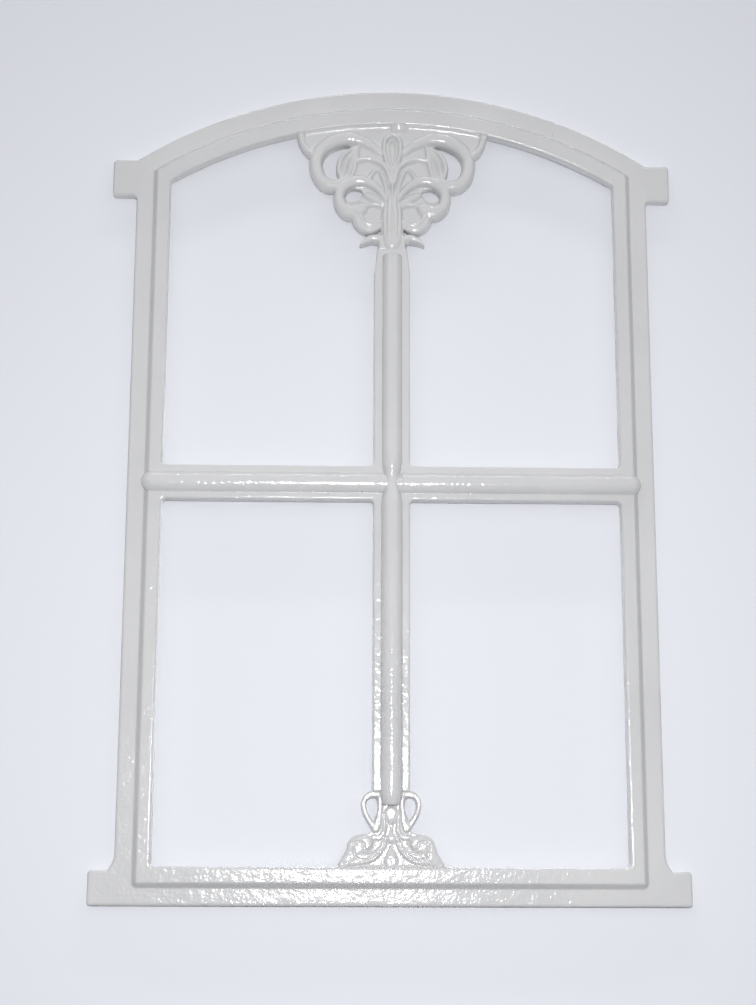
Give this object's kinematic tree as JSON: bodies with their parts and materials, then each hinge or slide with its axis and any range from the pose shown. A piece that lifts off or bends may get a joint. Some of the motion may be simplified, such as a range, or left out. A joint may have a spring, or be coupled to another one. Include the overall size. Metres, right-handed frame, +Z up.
{
  "type": "cast iron barn window frame",
  "caption": "Cast iron window with an arched head, a cross of glazing bars, a half-round column with scrolled ornament at both ends, and fixing lugs; four open panes.",
  "frame": {"origin": "middle of the bottom edge of the frame's back face", "axes": "+X to the right seen from the front, +Y into the wall, +Z up; the front faces -Y"},
  "size_m": [0.5, 0.024, 0.722],
  "materials": {
    "paint": "glossy off-white paint, thick, with a slight orange peel"
  },
  "bodies": {
    "root": {"arch_head": "paint", "bottom_rail": "paint", "bud": "paint", "crossing": "paint", "foot_drop": "paint", "foot_plate": "paint", "foot_stud": "paint", "head_plate": "paint", "left_ear": "paint", "left_foot_loop": "paint", "left_foot_scroll": "paint", "left_foot_stem": "paint", "left_leaf": "paint", "left_lobe": "paint", "left_scroll": "paint", "left_stem": "paint", "left_stem_loop": "paint", "left_stile": "paint", "left_teardrop": "paint", "left_transom": "paint", "left_transom_bead": "paint", "left_volute": "paint", "lower_column": "paint", "lower_left_lug": "paint", "lower_mullion": "paint", "lower_right_lug": "paint", "right_ear": "paint", "right_foot_loop": "paint", "right_foot_scroll": "paint", "right_foot_stem": "paint", "right_leaf": "paint", "right_lobe": "paint", "right_scroll": "paint", "right_stem": "paint", "right_stem_loop": "paint", "right_stile": "paint", "right_teardrop": "paint", "right_transom": "paint", "right_transom_bead": "paint", "right_volute": "paint", "trunk": "paint", "upper_column": "paint", "upper_left_lug": "paint", "upper_mullion": "paint", "upper_right_lug": "paint"}
  },
  "joints": []
}
